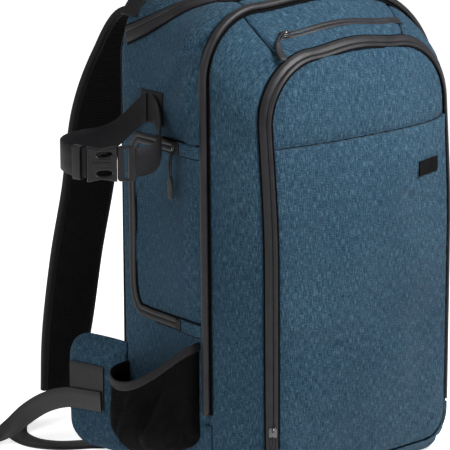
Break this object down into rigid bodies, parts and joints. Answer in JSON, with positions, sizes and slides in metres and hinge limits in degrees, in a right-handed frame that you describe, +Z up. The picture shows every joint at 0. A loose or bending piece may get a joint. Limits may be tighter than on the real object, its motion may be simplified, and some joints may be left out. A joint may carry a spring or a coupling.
{
  "type": "camera backpack",
  "caption": "upright padded camera backpack with zipped front and lid, side net pocket, fastened side strap, shoulder straps and hip wings",
  "frame": {"origin": "on the ground under the middle of the flat base", "axes": "+Z up, -Y to the bag's front face, +X to the viewer's right when looking at the front"},
  "size_m": [0.5139, 0.4285, 0.5443],
  "materials": {
    "cloth": "matt melange weave, blue with fine light and dark flecks",
    "back_mesh": "open black spacer mesh",
    "coated_trim": "coated zip tape and rolled edging, satin",
    "webbing": "ribbed strap webbing",
    "pocket_net": "stretch net with small holes",
    "woven_label": "plain woven label, bare",
    "zip_metal": "dark painted slider",
    "pull_rubber": "soft moulded pull",
    "buckle_plastic": "moulded buckle, satin"
  },
  "bodies": {
    "root": {"side_panel_left": "cloth", "side_panel_right": "cloth", "bottom_panel": "cloth", "lid_panel": "cloth", "top_edge_panel": "cloth", "front_gusset_left": "cloth", "front_gusset_right": "cloth", "front_gusset_top": "cloth", "front_gusset_bottom": "cloth", "front_upper_panel": "cloth", "front_lower_panel": "cloth", "front_foot_strip": "cloth", "back_panel": "back_mesh", "edge_trim": "coated_trim", "lid_zip_band": "coated_trim", "front_zip_band": "coated_trim", "top_pocket_zip": "coated_trim", "side_door_zip": "coated_trim", "side_door_strip_upper": "cloth", "side_door_strip_lower": "cloth", "blank_label": "woven_label", "top_pocket_slider": "zip_metal", "top_pocket_pull": "pull_rubber", "front_slider": "zip_metal", "front_pull": "pull_rubber", "side_door_slider": "zip_metal", "side_door_pull": "pull_rubber", "lid_slider": "zip_metal", "lid_pull": "pull_rubber", "side_pocket_net": "pocket_net", "side_pocket_rim": "webbing", "side_strap_long": "webbing", "side_strap_short": "webbing", "side_strap_anchor": "webbing", "side_strap_keeper": "buckle_plastic", "side_buckle_socket": "buckle_plastic", "side_buckle_tongue": "buckle_plastic", "top_handle": "webbing", "shoulder_strap_left": "back_mesh", "shoulder_strap_right": "back_mesh", "ladder_lock_left": "buckle_plastic", "ladder_lock_right": "buckle_plastic", "shoulder_web_left": "webbing", "shoulder_web_right": "webbing", "hip_wing_left": "cloth", "hip_wing_right": "cloth", "hip_band_left": "coated_trim", "hip_band_right": "coated_trim", "hip_web_left": "webbing", "hip_web_right": "webbing", "hip_buckle_left": "buckle_plastic", "hip_buckle_right": "buckle_plastic"}
  },
  "joints": []
}
